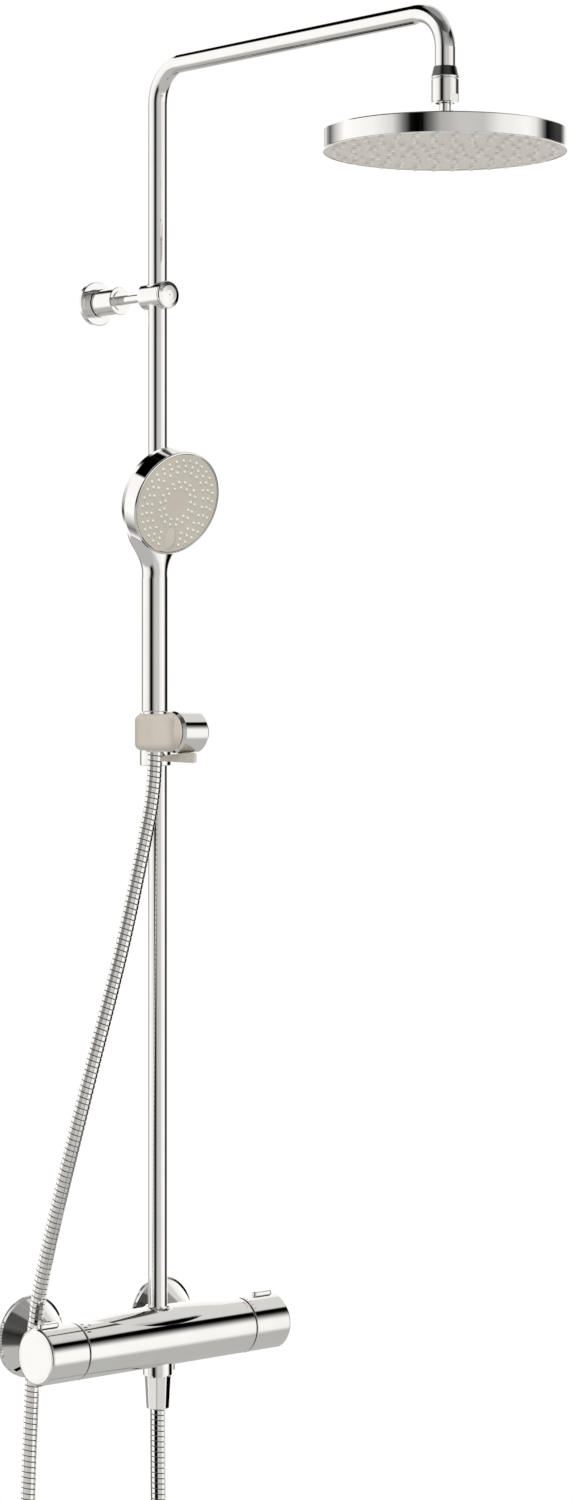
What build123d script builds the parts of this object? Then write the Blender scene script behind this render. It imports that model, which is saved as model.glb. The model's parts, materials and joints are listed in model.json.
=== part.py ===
from build123d import *
import math
import os

# Exposed shower column, in millimetres. The wall is the plane y = 0 and the room is on its -Y side.
# The origin is on the wall, midway between the two water inlets. +X is to the right of someone who
# faces the wall, +Z is up.

# ---- driving dimensions -------------------------------------------------------------------------
INLET_PITCH = 150.0      # centre to centre of the hot and cold inlets
COLUMN_Y = -86.0         # axis of the riser and of the mixer bar, from the wall
MIXER_R = 24.5
MIXER_HALF = 94.6        # half length of the fixed bar, between the two handles
HANDLE_GAP = 1.3
HANDLE_END = 137.1
TUBE_R = 8.5
TUBE_WALL = 1.2
ARM_Z = 1110.0
ARM_REACH = 354.8        # riser axis to drop axis
BEND_R = 31.0
HEAD_R = 99.1
HEAD_Z = 995.5           # underside of the overhead shower
BRACKET_Z = 911.0
SLIDER_Z = 530.0
SLIDER_FORWARD = 35.0    # riser axis to the slider's cross axis
HOLDER_X = -33.0         # axis of the hand shower's handle
HANDLE_R = 11.6
FACE_R = 45.6
FACE_TILT = 19.1         # the hand shower's face looks down by this angle
HOSE_R = 6.5
RUN_GAP = 0.3            # between faces of bodies that move past each other
SEAT_GAP = 0.1           # between pieces of one body that are laid in each other

DROP_Y = COLUMN_Y - ARM_REACH
SLIDER_Y = COLUMN_Y - SLIDER_FORWARD
INLETS = (-INLET_PITCH / 2, INLET_PITCH / 2)
SIDES = (-1, 1)


# ---- helpers ------------------------------------------------------------------------------------
def along_x(radius, x0, x1, y=COLUMN_Y, z=0.0):
    return Pos((x0 + x1) / 2, y, z) * Rot(0, 90, 0) * Cylinder(radius, abs(x1 - x0))


def along_y(radius, y0, y1, x=0.0, z=0.0):
    return Pos(x, (y0 + y1) / 2, z) * Rot(90, 0, 0) * Cylinder(radius, abs(y1 - y0))


def along_z(radius, z0, z1, x=0.0, y=COLUMN_Y):
    return Pos(x, y, (z0 + z1) / 2) * Cylinder(radius, abs(z1 - z0))


def block(x0, x1, y0, y1, z0, z1):
    return Pos((x0 + x1) / 2, (y0 + y1) / 2, (z0 + z1) / 2) * Box(x1 - x0, y1 - y0, z1 - z0)


def turned(profile):
    """Revolves (radius, height) points about the Z axis."""
    outline = Polyline(*[(r, 0, h) for r, h in profile], close=True)
    return revolve(make_face(outline), Axis.Z)


def turned_x(profile, side=1, y=COLUMN_Y, z=0.0):
    """Revolves (radius, distance) points about the X direction; distance grows away from the middle."""
    return Pos(0, y, z) * Rot(0, 90 * side, 0) * turned(profile)


def turned_y(profile, x=0.0, z=0.0):
    """Revolves (radius, distance from the wall) points about a line along Y; distance grows forward."""
    return Pos(x, 0, z) * Rot(90, 0, 0) * turned(profile)


def turned_z(profile, x=0.0, y=COLUMN_Y):
    return Pos(x, y, 0) * turned(profile)


def ring_z(outer, inner, z0, z1, x=0.0, y=COLUMN_Y):
    return along_z(outer, z0, z1, x, y) - along_z(inner, z0 - 1, z1 + 1, x, y)


def hexagon_y(across_flats, y0, y1, x, z):
    sketch = Plane.XZ * RegularPolygon(across_flats / 2, 6, major_radius=False)
    return Pos(x, y1, z) * extrude(sketch, y1 - y0)


def seal(radius, cord, plane):
    """An O-ring of the given mean radius."""
    return plane * Torus(radius, cord)


def write(node, shape):
    shape = Compound(children=[s for part in shape for s in part.solids()]) \
        if isinstance(shape, list) else shape
    shape.label = node
    export_step(shape, f"parts/{node}.step")


# ---- wall connections ---------------------------------------------------------------------------
STUD_R = 10.48           # G 1/2 male thread, major radius
STUD_LENGTH = 15.0
UNION_FACE = 48.0        # wall to the face where the S-union meets the mixer
UNION_BORE = 6.5


def s_union(x):
    """Wall thread, barrel with a hexagon, and the collar that the union nut pulls on."""
    body = along_y(STUD_R, 0, STUD_LENGTH, x)
    body += along_y(13.0, -26.0, 0, x)
    body += hexagon_y(24.0, -32.0, -26.0, x, 0)
    body += along_y(10.2, -UNION_FACE + 3.0, -32.0, x)
    body += along_y(13.2, -UNION_FACE, -UNION_FACE + 3.0, x)
    return body - along_y(UNION_BORE, -UNION_FACE - 1, STUD_LENGTH + 1, x)


ROSETTE_R = 36.0
ROSETTE_DEPTH = 30.0
ROSETTE_NECK_R = 17.0


def rosette(x):
    """Conical cover plate, a thin shell open at the wall and at its neck."""
    profile = [
        (ROSETTE_R - 1.6, 0.4),
        (ROSETTE_R - 0.3, 0.4),
        (ROSETTE_R, 0.9),
        (ROSETTE_R, 2.6),
        (ROSETTE_R - 0.7, 3.3),
        (ROSETTE_R - 2.6, 4.0),
        (ROSETTE_NECK_R + 0.8, ROSETTE_DEPTH - 1.0),
        (ROSETTE_NECK_R, ROSETTE_DEPTH),
        (ROSETTE_NECK_R - 1.2, ROSETTE_DEPTH),
        (ROSETTE_NECK_R - 0.8, ROSETTE_DEPTH - 1.8),
        (ROSETTE_R - 4.2, 2.6),
        (ROSETTE_R - 1.6, 2.2),
    ]
    return turned_y(profile, x)


def union_nut(x):
    """Hexagon nut with a round skirt, screwed on the mixer's inlet thread."""
    nut = hexagon_y(29.0, -47.0, -36.0, x, 0)
    nut &= along_y(16.2, -47.0, -36.0, x)
    nut += along_y(15.2, -57.0, -47.0, x)
    nut -= along_y(13.3, -58.0, -UNION_FACE + 3.1, x)
    return nut - along_y(10.4, -UNION_FACE, -35.0, x)


def filter_washer(x):
    return along_y(12.4, -50.0, -UNION_FACE, x) - along_y(6.0, -51.0, -47.0, x)


def check_valve(x):
    valve = along_y(7.8, -66.0, -50.2, x) - along_y(5.0, -67.0, -54.0, x)
    return valve - along_y(3.0, -60.0, -50.0, x)


# ---- mixer bar ----------------------------------------------------------------------------------
SHOULDER_LIFT = 4.0      # the bar's shoulder stands this far above the round section
SHOULDER_BACK = 2.0
CARTRIDGE_BORE = 17.5
CARTRIDGE_DEPTH = 54.0
NECK_R = 10.6
NECK_TOP = 29.0
OUTLET_R = 13.2
OUTLET_Z = -31.0         # lower face of the hose outlet's collar
RISER_SEAL_Z = (12.0, 17.0)
RISER_SCREW = (20.0, COLUMN_Y + 4.5)


def shoulder():
    """A barrel that lies a little behind and above the bar, and fades out before its ends."""
    middle, end, half = MIXER_R - 0.3, MIXER_R - 4.8, 88.0
    arc = ThreePointArc((end, 0, -half), (middle, 0, 0), (end, 0, half))
    outline = Polyline((end, 0, half), (0, 0, half), (0, 0, -half), (end, 0, -half))
    barrel = revolve(make_face([arc, outline]), Axis.Z)
    return Pos(0, COLUMN_Y + SHOULDER_BACK, SHOULDER_LIFT) * Rot(0, 90, 0) * barrel


def mixer_body():
    body = along_x(MIXER_R, -MIXER_HALF, MIXER_HALF)
    rims = body.edges().filter_by(GeomType.CIRCLE)
    body = fillet(rims, 0.6)
    body += shoulder()
    body += along_z(NECK_R, 10, NECK_TOP)
    body += along_z(OUTLET_R, OUTLET_Z, -10)
    for x in INLETS:
        body += along_y(15.2, COLUMN_Y + 5, -57.3, x)
        body += along_y(13.2, -58.0, -50.0, x)
    for side in SIDES:
        far, near = side * (MIXER_HALF + 1), side * (MIXER_HALF - CARTRIDGE_DEPTH)
        body -= along_x(CARTRIDGE_BORE, near, far)
    for x in INLETS:
        body -= along_y(8.0, COLUMN_Y, -49.0, x)
    body -= along_x(6.0, -45.0, 45.0)
    body -= along_z(TUBE_R + 0.1, 6.0, NECK_TOP + 1)
    body -= along_z(6.0, -20.0, 10.0)
    body -= along_z(9.3, OUTLET_Z - 1, -18.0)
    for z in RISER_SEAL_Z:
        body -= riser_seal_groove(z)
    x, y = RISER_SCREW
    hole = turned_z([(0, -32.0), (3.0, -32.0), (3.0, -22.0), (2.1, -22.0), (2.1, -14.0), (0, -14.0)],
                    x, y)
    return body - hole


def stop_ring(side):
    """Plastic ring between the bar and the handle, seen as the dark line in the gap."""
    inner, outer = MIXER_HALF, MIXER_HALF + HANDLE_GAP + 2.5
    profile = [(17.8, inner), (23.3, inner), (23.3, inner + 1.0), (21.0, inner + 1.2),
               (21.0, outer), (17.8, outer)]
    return turned_x(profile, side)


def cartridge(side):
    """Round insert with a groove for its seal, bored for the spindle."""
    inner = MIXER_HALF - CARTRIDGE_DEPTH + 1.0
    profile = [(4.0, inner), (12.0, inner), (12.0, inner + 8), (17.0, inner + 10),
               (17.0, inner + 14), (15.6, inner + 14), (15.6, inner + 17), (17.0, inner + 17),
               (17.0, inner + 39), (6.2, inner + 39), (6.2, inner + 20), (4.0, inner + 20)]
    return turned_x(profile, side)


def cartridge_nut(side):
    start = MIXER_HALF - 14.0
    nut = turned_x([(9.0, start), (17.3, start), (17.3, start + 9), (15.5, start + 9),
                    (15.5, start + 16), (9.0, start + 16)], side)
    return nut


def cartridge_seal(side):
    x = side * (MIXER_HALF - CARTRIDGE_DEPTH + 16.5)
    return seal(16.55, 0.88, Pos(x, COLUMN_Y, 0) * Rot(0, 90, 0))


def riser_seal(z):
    return seal(TUBE_R + 0.9, 0.85, Pos(0, COLUMN_Y, z))


def riser_seal_groove(z):
    return ring_z(TUBE_R + 1.8, TUBE_R, z - 1.1, z + 1.1)


def outlet_nipple():
    """Threaded nipple under the bar that takes the hose nut."""
    nipple = along_z(9.2, -41.0, -18.5) + along_z(11.0, -32.6, OUTLET_Z - 0.05)
    return nipple - along_z(5.0, -42.0, -18.0)


def riser_screw():
    """Socket screw under the bar that locks the riser's lower end."""
    screw = along_z(2.0, -26.0, -15.0, *RISER_SCREW) + along_z(2.7, -30.4, -22.1, *RISER_SCREW)
    return screw - Pos(*RISER_SCREW, -31.0) * extrude(RegularPolygon(1.4, 6), 3.5)


# ---- handles of the mixer -----------------------------------------------------------------------
HANDLE_START = MIXER_HALF + HANDLE_GAP
HANDLE_WALL = 2.2
CAP_DEPTH = 3.3
BUTTON_X = (111.6, 132.4)
BUTTON_HALF_WIDTH = 3.0
BUTTON_TOP = MIXER_R + 3.4
BUTTON_TRAVEL = 1.5


def button_slot(side, spare):
    x0, x1 = sorted((side * (BUTTON_X[0] - spare), side * (BUTTON_X[1] + spare)))
    slot = block(x0, x1, COLUMN_Y - BUTTON_HALF_WIDTH - spare, COLUMN_Y + BUTTON_HALF_WIDTH + spare,
                 MIXER_R - 6, MIXER_R + 6)
    return fillet(slot.edges().filter_by(Axis.Z), BUTTON_HALF_WIDTH - 0.2)


def handle_shell(side):
    """Turned chrome sleeve of a handle, open to the bar and closed by its end cap."""
    inner = MIXER_R - HANDLE_WALL
    profile = [(inner, HANDLE_START), (MIXER_R - 0.5, HANDLE_START), (MIXER_R, HANDLE_START + 0.5),
               (MIXER_R, HANDLE_END - CAP_DEPTH - 0.05), (inner, HANDLE_END - CAP_DEPTH - 0.05)]
    return turned_x(profile, side) - button_slot(side, RUN_GAP)


def handle_cap(side):
    """Low dome with a rounded edge that closes the sleeve flush with its outside."""
    edge = HANDLE_END - CAP_DEPTH
    sheet = [(0, edge), (MIXER_R - 0.02, edge), (MIXER_R, edge + 0.3), (MIXER_R - 0.35, edge + 1.2),
             (MIXER_R - 1.2, edge + 2.0), (MIXER_R - 2.6, edge + 2.55), (MIXER_R - 6.0, edge + 2.95),
             (MIXER_R * 0.4, HANDLE_END - 0.05), (0, HANDLE_END)]
    return turned_x(sheet, side)


def handle_adapter(side):
    """Plastic core that carries the sleeve and fits over the spindle, cut away under the button."""
    rim = MIXER_R - HANDLE_WALL - SEAT_GAP
    core = turned_x([(5.1, 100.0), (8.6, 100.0), (8.6, 104.0), (rim, 104.0), (rim, 107.0),
                     (13.0, 107.0), (13.0, 131.0), (16.0, 131.0), (16.0, 133.7), (0, 133.7),
                     (0, 126.0), (5.1, 126.0)], side)
    return core


def spindle(side):
    shaft = along_x(5.0, side * (MIXER_HALF - 30.0), side * 125.0)
    shaft += along_x(6.1, side * (MIXER_HALF - 30.0), side * (MIXER_HALF - 20.0))
    return shaft


def button(side):
    """Bar that stands proud of the handle, on a foot that keeps it in its slot."""
    low, high = sorted((side * BUTTON_X[0], side * BUTTON_X[1]))
    bar = block(low, high, COLUMN_Y - BUTTON_HALF_WIDTH, COLUMN_Y + BUTTON_HALF_WIDTH,
                18.4, BUTTON_TOP)
    bar = fillet(bar.edges().filter_by(Axis.Z), BUTTON_HALF_WIDTH - 0.2)
    bar = fillet(bar.edges().group_by(Axis.Z)[-1], 1.2)
    foot = block(low + 1.0, high - 1.0, COLUMN_Y - 4.6, COLUMN_Y + 4.6, 18.4, 21.2)
    return bar + foot


def button_spring(side):
    """Return spring between the core and the button's foot, as the tube that its coils fill."""
    x = side * (BUTTON_X[0] + BUTTON_X[1]) / 2
    return ring_z(3.2, 2.2, 13.2, 18.3, x)


# ---- riser and overhead shower ------------------------------------------------------------------
TUBE_START = 8.0
TUBE_END = 1048.0
BALL_Z = 1042.5
BALL_R = 7.6
NUT_R = 11.4
NUT_BOTTOM = 1034.4
NUT_TOP = 1053.0
NECK_OF_BALL = 4.7


def riser_tube():
    """One bent tube: riser, arm over the bather, and drop to the overhead shower."""
    path = FilletPolyline((0, COLUMN_Y, TUBE_START), (0, COLUMN_Y, ARM_Z), (0, DROP_Y, ARM_Z),
                          (0, DROP_Y, TUBE_END + 4.0), radius=BEND_R)
    section = Plane((0, COLUMN_Y, TUBE_START)) * (Circle(TUBE_R) - Circle(TUBE_R - TUBE_WALL))
    return sweep(section, path)


def arm_collar():
    """Dark tapered collar where the nut's ring meets the tube."""
    return turned_z([(TUBE_R + 0.05, 1056.0), (11.0, 1056.0), (9.2, 1063.6), (TUBE_R + 0.05, 1063.6)],
                    0, DROP_Y)


def swivel_ring():
    return turned_z([(TUBE_R + 0.05, 1053.6), (NUT_R - 0.4, 1053.6), (NUT_R + 0.1, 1054.1),
                     (NUT_R + 0.1, 1055.2), (NUT_R - 0.6, 1055.95), (TUBE_R + 0.05, 1055.95)],
                    0, DROP_Y)


def swivel_nut():
    """Ball-joint nut with a wrench flat; its lower lip carries the ball."""
    nut = along_z(NUT_R, NUT_BOTTOM, NUT_TOP, 0, DROP_Y)
    nut += along_z(10.2, NUT_TOP, 1053.6, 0, DROP_Y)
    nut = chamfer(nut.edges().group_by(Axis.Z)[0], 0.7)
    flat = block(-12.0, 12.0, DROP_Y - 14.0, DROP_Y - 10.6, NUT_BOTTOM - 1, 1041.0)
    nut -= flat + block(-12.0, 12.0, DROP_Y + 10.6, DROP_Y + 14.0, NUT_BOTTOM - 1, 1041.0)
    nut -= along_z(BALL_R + 1.0, BALL_Z, TUBE_END + 6, 0, DROP_Y)
    nut -= Pos(0, DROP_Y, BALL_Z) * Sphere(BALL_R + RUN_GAP)
    mouth = turned_z([(0, BALL_Z - 2.0), (5.6, BALL_Z - 4.0), (8.4, NUT_BOTTOM - 0.6),
                      (0, NUT_BOTTOM - 0.6)], 0, DROP_Y)
    return nut - mouth


def ball_seal():
    """Plastic seat that presses on the ball from above and turns with it."""
    seat = ring_z(BALL_R + 0.7, 4.0, BALL_Z + 2.6, BALL_Z + 5.2, 0, DROP_Y)
    return seat - Pos(0, DROP_Y, BALL_Z) * Sphere(BALL_R + RUN_GAP)


HEAD_RIM = 16.5
HEAD_TOP = 1026.0
NOZZLE_RINGS = 6
NOZZLE_PITCH = 14.8
NOZZLE_R = 1.9
NOZZLE_DROP = 2.5


def head_ball():
    """Ball and hollow neck that the shower hangs on."""
    stem = Pos(0, DROP_Y, BALL_Z) * Sphere(BALL_R)
    stem += along_z(NECK_OF_BALL, HEAD_TOP - 7.0, BALL_Z - 3, 0, DROP_Y)
    stem += along_z(9.0, HEAD_TOP - 7.0, HEAD_TOP - 4.0, 0, DROP_Y)
    return stem - along_z(3.0, HEAD_TOP - 8.0, BALL_Z + BALL_R + 1, 0, DROP_Y)


def head_shell():
    """Shallow drum with a low dome, open below for the spray plate."""
    rim = HEAD_Z + HEAD_RIM
    outer = [
        (HEAD_R - 1.6, HEAD_Z),
        (HEAD_R - 0.5, HEAD_Z),
        (HEAD_R, HEAD_Z + 0.6),
        (HEAD_R, rim - 1.2),
        (HEAD_R - 0.4, rim - 0.4),
        (HEAD_R - 1.4, rim),
        (60.0, rim + 4.5),
        (22.0, rim + 8.5),
        (13.5, rim + 10.0),
        (11.5, HEAD_TOP - 0.8),
        (10.6, HEAD_TOP),
        (NECK_OF_BALL + SEAT_GAP, HEAD_TOP),
    ]
    inner = [
        (NECK_OF_BALL + SEAT_GAP, HEAD_TOP - 3.9),
        (10.0, HEAD_TOP - 3.9),
        (21.0, rim + 6.0),
        (60.0, rim + 2.2),
        (HEAD_R - 2.4, rim - 2.2),
        (HEAD_R - 2.4, HEAD_Z + 4.6),
        (HEAD_R - 1.6, HEAD_Z + 4.0),
    ]
    return turned_z(outer + inner, 0, DROP_Y)


def head_nozzle_places():
    """Six more nozzles on each ring than on the one inside it, a pitch apart all over."""
    places = []
    for ring in range(1, NOZZLE_RINGS + 1):
        for i in range(6 * ring):
            turn = 2 * math.pi * i / (6 * ring) + 0.09 * ring
            places.append((ring * NOZZLE_PITCH * math.cos(turn), ring * NOZZLE_PITCH * math.sin(turn)))
    return places


def head_faceplate():
    plate = Circle(HEAD_R - 1.6 - SEAT_GAP)
    holes = Sketch() + [Pos(*p) * Circle(NOZZLE_R + 0.05) for p in head_nozzle_places()]
    return Pos(0, DROP_Y, HEAD_Z + 0.5) * extrude(plate - holes, 3.2)


def head_nozzles():
    """Silicone mat on the back of the plate, with one nozzle through each hole."""
    top = HEAD_Z + 3.75
    pins = Sketch() + [Pos(*p) * Circle(NOZZLE_R) for p in head_nozzle_places()]
    tip = HEAD_Z + 0.5 - NOZZLE_DROP
    mat = Pos(0, DROP_Y, top) * extrude(Circle(HEAD_R - 6.0), 1.2)
    return mat + Pos(0, DROP_Y, tip) * extrude(pins, top - tip)


# ---- wall bracket -------------------------------------------------------------------------------
FLANGE_R = 19.5
SLEEVE_R = 12.5
CLAMP_R = 12.0
CLAMP_FRONT = -COLUMN_Y + 15.5


def bracket_flange():
    """Round foot on the wall, bored for its wall screw, with a spigot for the sleeve."""
    profile = [(2.75, 0), (FLANGE_R - 0.4, 0), (FLANGE_R, 0.5), (FLANGE_R, 3.6),
               (FLANGE_R - 0.8, 4.3), (13.0, 4.3), (13.0, 8.4), (9.0, 8.4), (9.0, 16.0),
               (5.4, 16.0), (5.4, 4.0), (2.75, 4.0)]
    return turned_y(profile, 0, BRACKET_Z)


def bracket_sleeve():
    profile = [(9.1, 9.4), (SLEEVE_R - 0.5, 9.4), (SLEEVE_R, 9.9), (SLEEVE_R, 34.8),
               (SLEEVE_R - 0.5, 35.4), (8.6, 35.4), (8.6, 36.6), (4.3, 36.6), (4.3, 16.6), (9.1, 16.6)]
    return turned_y(profile, 0, BRACKET_Z)


def bracket_rod():
    rod = along_y(4.2, COLUMN_Y + 14.0, -17.0, 0, BRACKET_Z)
    return rod


def bracket_clamp():
    """Short cylinder across the riser, which passes through it."""
    profile = [(0, -COLUMN_Y - 14.0), (CLAMP_R - 0.4, -COLUMN_Y - 14.0), (CLAMP_R, -COLUMN_Y - 13.6),
               (CLAMP_R, CLAMP_FRONT - 3.2), (0, CLAMP_FRONT - 3.2)]
    clamp = turned_y(profile, 0, BRACKET_Z)
    clamp -= along_z(TUBE_R + 1.3, BRACKET_Z - 20, BRACKET_Z + 20)
    return clamp - along_y(2.6, COLUMN_Y - 13.0, COLUMN_Y - 8.0, 0, BRACKET_Z)


def clamp_bush():
    """Split-free plastic liner between the riser and the clamp."""
    bush = ring_z(TUBE_R + 1.25, TUBE_R + 0.02, BRACKET_Z - 12.5, BRACKET_Z + 12.5)
    inside = along_y(CLAMP_R - 0.3, COLUMN_Y - 12.0, COLUMN_Y + 13.0, 0, BRACKET_Z)
    bush &= inside
    return bush - along_y(2.6, COLUMN_Y - 13.0, COLUMN_Y - 6.0, 0, BRACKET_Z)


def bracket_screw():
    """Grub screw under the cap that presses the liner on the riser."""
    screw = along_y(2.5, COLUMN_Y - 12.2, COLUMN_Y - TUBE_R - 0.1, 0, BRACKET_Z)
    return screw - Pos(0, COLUMN_Y - 12.3, BRACKET_Z) * Rot(90, 0, 0) * Pos(0, 0, -1.5) * \
        extrude(RegularPolygon(1.4, 6), 3.0)


def bracket_cap():
    """Domed front cap of the clamp."""
    edge = CLAMP_FRONT - 2.9
    profile = [(0, edge), (CLAMP_R - 0.4, edge), (CLAMP_R, edge + 0.4), (CLAMP_R, edge + 1.6),
               (CLAMP_R - 0.6, edge + 2.4), (8.0, edge + 3.2), (4.0, edge + 3.6), (0, edge + 3.7)]
    return turned_y(profile, 0, BRACKET_Z)


# ---- slider and hand shower holder --------------------------------------------------------------
SLIDER_HALF = 14.3
SLIDER_R = 18.0
GUIDE_R = 14.0
GUIDE_BACK = 3.0         # the guide's outside is set back from the riser's axis
GUIDE_Z = (500.5, 547.0)
BUSH_R = 10.4
FRICTION_DEPTH = 1.2
HOLDER_R = 17.2
HOLDER_WAIST_R = 14.7
CUP_HALF = 15.6
LEVER_Y = (-144.0, -101.5)
LEVER_PIN = (-121.0, 514.7)


def slider_body():
    """Guide round the riser, joined to a short cross cylinder in front of it."""
    guide = along_z(GUIDE_R, *GUIDE_Z, 0, COLUMN_Y + GUIDE_BACK)
    guide = fillet(guide.edges().filter_by(GeomType.CIRCLE), 0.8)
    cross = turned_x([(0, -SLIDER_HALF), (SLIDER_R - 2.2, -SLIDER_HALF), (SLIDER_R, -SLIDER_HALF + 2.4),
                      (SLIDER_R, SLIDER_HALF - 2.0), (SLIDER_R - 0.7, SLIDER_HALF - 0.6),
                      (SLIDER_R - 2.2, SLIDER_HALF), (0, SLIDER_HALF)], 1, SLIDER_Y, SLIDER_Z)
    body = guide + cross + block(-9.0, 9.0, SLIDER_Y, COLUMN_Y - 5, SLIDER_Z - 13, SLIDER_Z + 13)
    body -= along_z(BUSH_R + 0.02, GUIDE_Z[0] - 1, GUIDE_Z[1] + 1)
    pocket_y = (LEVER_PIN[0] - 5.0, LEVER_PIN[0] + 5.0)
    body -= block(-3.8, 3.8, *pocket_y, 505.0, 519.0)
    body -= along_x(1.3, -9.0, 9.0, *LEVER_PIN)
    return body - along_x(4.2, -SLIDER_HALF - 1, 6.0, SLIDER_Y, SLIDER_Z)


def slider_bush():
    return ring_z(BUSH_R, TUBE_R + 0.06, GUIDE_Z[0] + 0.6, GUIDE_Z[1] - 0.6)


def release_lever():
    """Lever under the cross cylinder: thin at the riser, thick at the front, on a lug and pin.
    Its free end is cut at 45 degrees in plan."""
    back, front = LEVER_Y[1], LEVER_Y[0]
    outline = Polyline((front, 503.4), (back, 504.6), (back, 508.4), (SLIDER_Y + 8, 510.6),
                       (SLIDER_Y, 511.3), (front, 512.6), close=True)
    half = 8.5
    plate = extrude(Plane.YZ * make_face(outline), half, both=True)
    plate -= along_x(SLIDER_R + RUN_GAP + 0.3, -12, 12, SLIDER_Y, SLIDER_Z)
    corner = Polyline((-half - 1, front - 1), (half + 1, front - 1), (half + 1, front + 2 * half),
                      close=True)
    plate -= Pos(0, 0, 500) * extrude(make_face(corner), 20)
    lug = block(-3.4, 3.4, LEVER_PIN[0] - 4.0, LEVER_PIN[0] + 4.0, 508.0, 517.6)
    return plate + lug - along_x(1.35, -12, 12, *LEVER_PIN)


def lever_pin():
    return along_x(1.28, -8.8, 8.8, *LEVER_PIN)


def friction_ring():
    """Dark washer between the cross cylinder and the holder."""
    return along_x(SLIDER_R - 2.5, -SLIDER_HALF - FRICTION_DEPTH, -SLIDER_HALF, SLIDER_Y, SLIDER_Z) - \
        along_x(3.3, -SLIDER_HALF - 3, -SLIDER_HALF + 1, SLIDER_Y, SLIDER_Z)


def cup_bore(spare):
    """Conical seat for the hose's nut, open above and below."""
    low, high = SLIDER_Z - CUP_HALF, SLIDER_Z + CUP_HALF
    slope = (CONE_TOP_R - CONE_LOW_R) / (CONE_TOP - CONE_LOW)
    at_low = CONE_LOW_R + slope * (low - 4 - CONE_LOW) + spare
    at_high = CONE_LOW_R + slope * (high + 4 - CONE_LOW) + spare
    return turned_z([(0, low - 4), (at_low, low - 4), (at_high, high + 4), (0, high + 4)],
                    HOLDER_X, SLIDER_Y)


CONE_TOP = 547.2
CONE_LOW = 514.9
CONE_TOP_R = 10.4
CONE_LOW_R = 9.2


def holder():
    """Upright cup on a round arm with a waist, bored for the hose's cone."""
    cup = along_z(HOLDER_R, SLIDER_Z - CUP_HALF, SLIDER_Z + CUP_HALF, HOLDER_X, SLIDER_Y)
    cup = fillet(cup.edges().filter_by(GeomType.CIRCLE), 5.8)
    start = SLIDER_HALF + FRICTION_DEPTH + RUN_GAP
    arm = turned_x([(0, start), (HOLDER_R - 0.8, start), (HOLDER_R, start + 0.8),
                    (HOLDER_R - 0.7, start + 4.0), (HOLDER_WAIST_R + 0.3, start + 9.0),
                    (HOLDER_WAIST_R, -HOLDER_X), (0, -HOLDER_X)], -1, SLIDER_Y, SLIDER_Z)
    body = cup + arm - cup_bore(RUN_GAP)
    return body - along_x(3.05, -24.0, 0, SLIDER_Y, SLIDER_Z)


def holder_pin():
    """Shoulder pin that the holder turns on."""
    pin = along_x(3.0, -21.0, -SLIDER_HALF, SLIDER_Y, SLIDER_Z)
    return pin + along_x(4.1, -SLIDER_HALF, 5.5, SLIDER_Y, SLIDER_Z)


# ---- hand shower --------------------------------------------------------------------------------
FACE_CENTRE = (HOLDER_X, COLUMN_Y - 64.6, 725.6)
DRUM_DEPTH = 27.0
HANDLE_LOW = 547.6
FACE_PLATE_R = 43.3
SPRAY_GROUPS = ((38.1, 32), (33.2, 27), (28.1, 23), (19.1, 18), (14.4, 13))
SPRAY_R = 1.15
TAB_HALF_ANGLE = 15.0
# Height and half widths, across and front to back, of the neck where the handle widens into the drum.
NECK_START = 662.0
NECK_SECTIONS = [(674.0, 12.8, 11.9), (683.0, 18.6, 12.3), (692.0, 25.6, 12.6), (700.0, 29.0, 12.8)]


def on_face(height=0.0):
    """Frame of the spray face: its Z axis points out of the face, its Y axis up the face."""
    face = Plane(origin=FACE_CENTRE, x_dir=(1, 0, 0),
                 z_dir=(0, -math.cos(math.radians(FACE_TILT)), -math.sin(math.radians(FACE_TILT))))
    return face.offset(height).location


def handset_body():
    """Chromed handle that widens into the drum behind the spray face."""
    drum = turned([(0, -DRUM_DEPTH), (34.0, -DRUM_DEPTH), (40.5, -DRUM_DEPTH + 2.0),
                   (44.0, -DRUM_DEPTH + 6.5), (FACE_R - 0.3, -DRUM_DEPTH + 12.0),
                   (FACE_R - 0.3, -1.2), (0, -1.2)])
    drum = on_face() * drum
    grip = along_z(HANDLE_R, HANDLE_LOW, NECK_START, HOLDER_X, SLIDER_Y)
    grip = fillet(grip.edges().group_by(Axis.Z)[0], 0.8)
    sections = [Plane((HOLDER_X, SLIDER_Y, NECK_START)) * Circle(HANDLE_R)]
    sections += [Plane((HOLDER_X, SLIDER_Y, z)) * Ellipse(across, deep)
                 for z, across, deep in NECK_SECTIONS]
    body = drum + grip + loft(sections)
    cavity = on_face() * turned([(0, -DRUM_DEPTH + 3.0), (36.0, -DRUM_DEPTH + 3.0), (42.6, -15.0),
                                 (42.6, -3.7), (43.7, -3.7), (43.7, 0), (0, 0)])
    body -= cavity
    body -= along_z(7.2, 560.0, 704.0, HOLDER_X, SLIDER_Y)
    return body - along_z(8.9, HANDLE_LOW - 1, 561.0, HOLDER_X, SLIDER_Y)


def face_ring():
    """Thin bright bezel round the spray face."""
    return on_face() * turned([(FACE_PLATE_R + 0.4, -1.15), (FACE_R - 0.2, -1.15), (FACE_R, -0.6),
                               (FACE_R - 0.6, 0.3), (FACE_PLATE_R + 0.9, 0.5),
                               (FACE_PLATE_R + 0.4, 0.2)])


def spray_places():
    """Rings of nozzles, left out where the selector tab stands."""
    places = []
    for radius, count in SPRAY_GROUPS:
        for i in range(count):
            turn = -90.0 + 360.0 * (i + 0.5) / count
            clear = abs((turn + 90.0 + 180.0) % 360.0 - 180.0) * radius > TAB_HALF_ANGLE * 28.0
            if clear or radius < 20.0:
                places.append((radius * math.cos(math.radians(turn)),
                               radius * math.sin(math.radians(turn))))
    return places


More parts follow.
